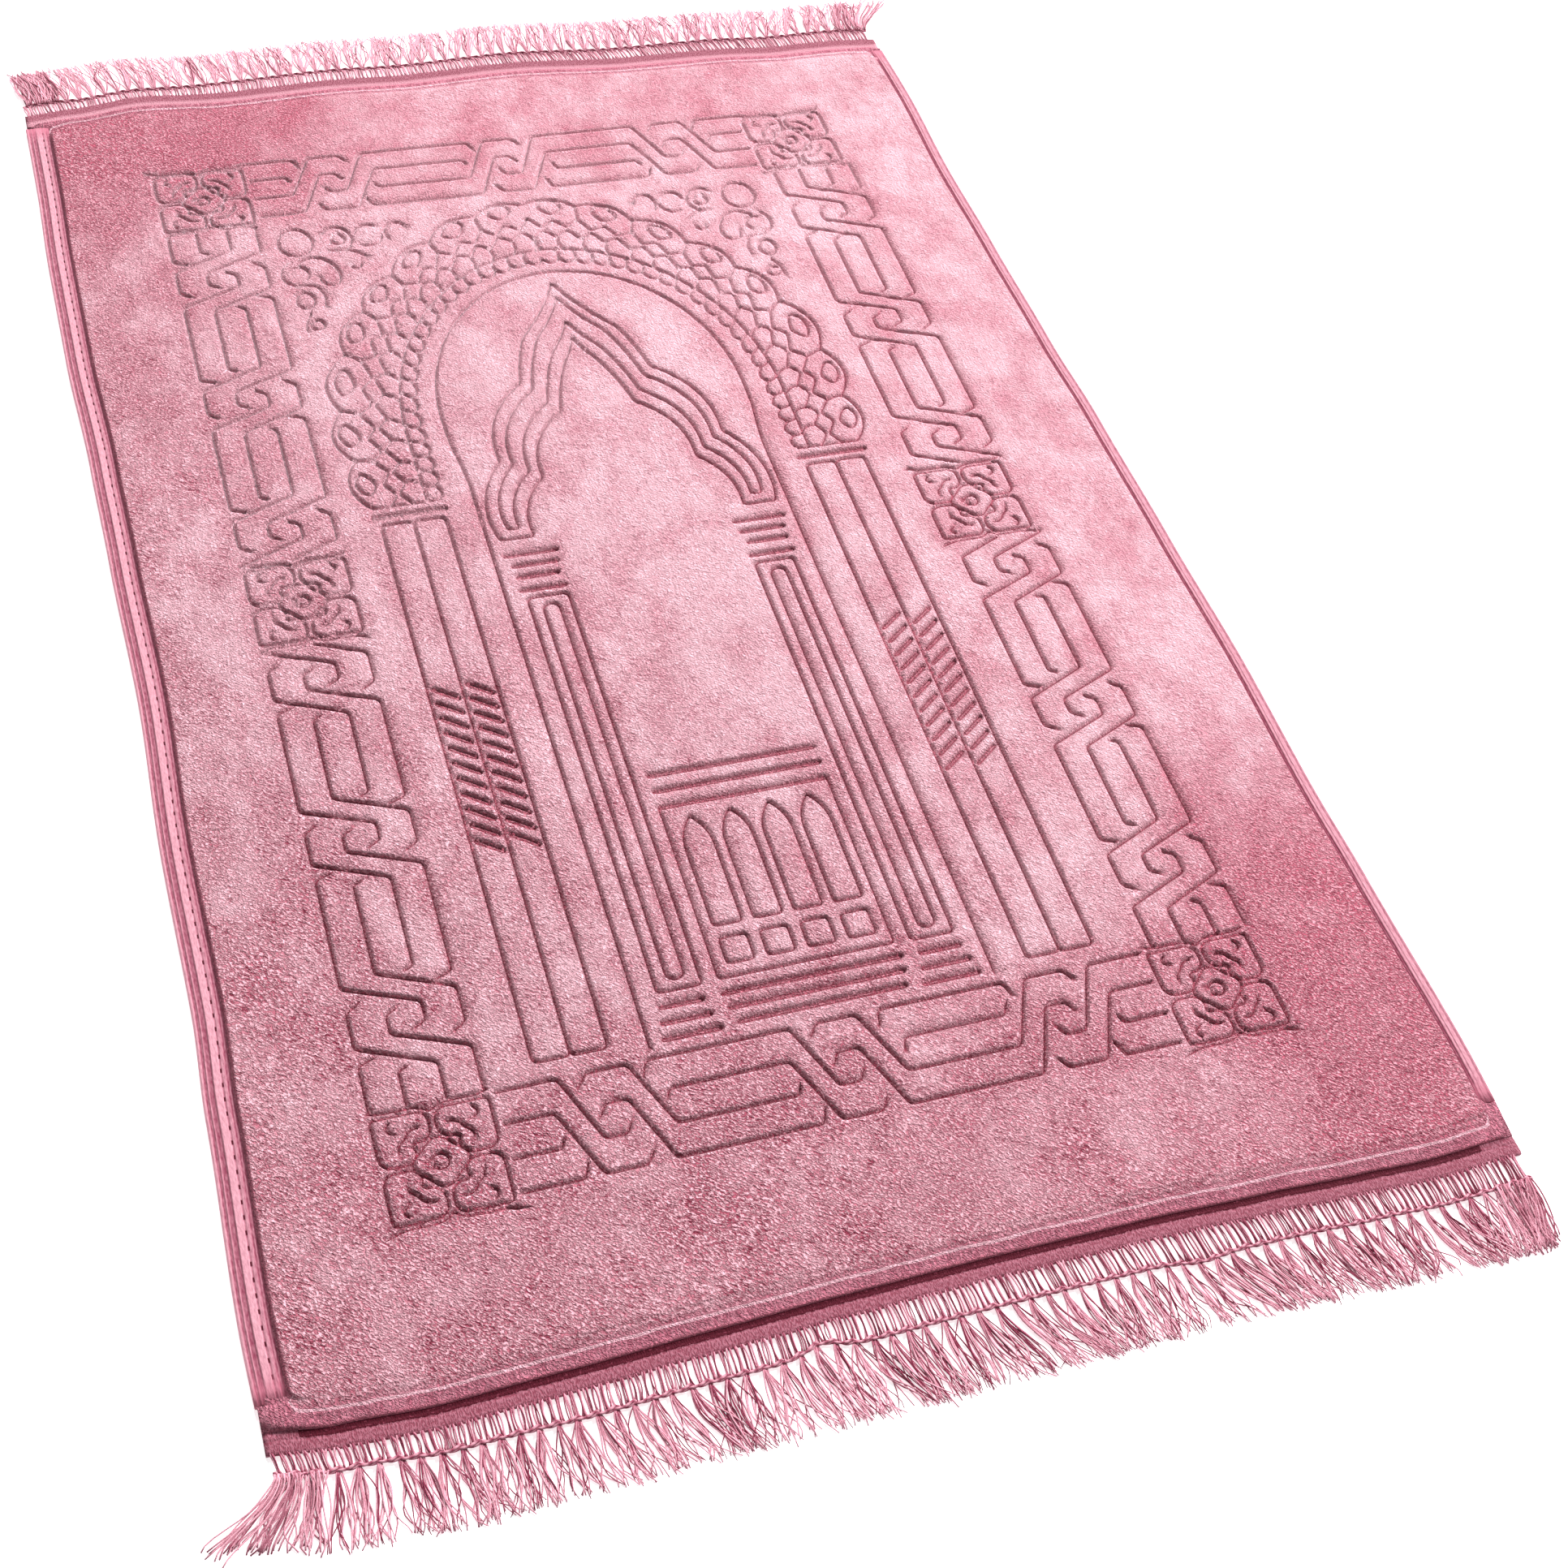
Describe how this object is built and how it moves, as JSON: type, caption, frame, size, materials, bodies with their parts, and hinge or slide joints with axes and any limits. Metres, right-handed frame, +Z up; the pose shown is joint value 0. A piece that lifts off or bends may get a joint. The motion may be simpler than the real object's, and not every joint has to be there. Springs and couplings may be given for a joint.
{
  "type": "prayer rug",
  "caption": "Flat padded prayer rug with a pointed niche, lacework arch and fret border pressed into the pile, bound sides and a knotted fringe at each end.",
  "frame": {"origin": "on the floor, under the middle of the rug's outline with its fringes", "axes": "+Y along the rug towards the point of the niche, +X across it to the right seen from the foot, +Z up out of the pile"},
  "size_m": [0.7502, 1.2298, 0.0068],
  "materials": {
    "pile": "short plush pile, dusty rose",
    "binding": "flat woven tape, darker rose",
    "fringe": "matt cotton yarn, darker rose"
  },
  "bodies": {
    "root": {"rug_mat": "pile", "side_binding_left": "binding", "side_binding_right": "binding", "fringe_near": "fringe", "fringe_far": "fringe"}
  },
  "joints": []
}
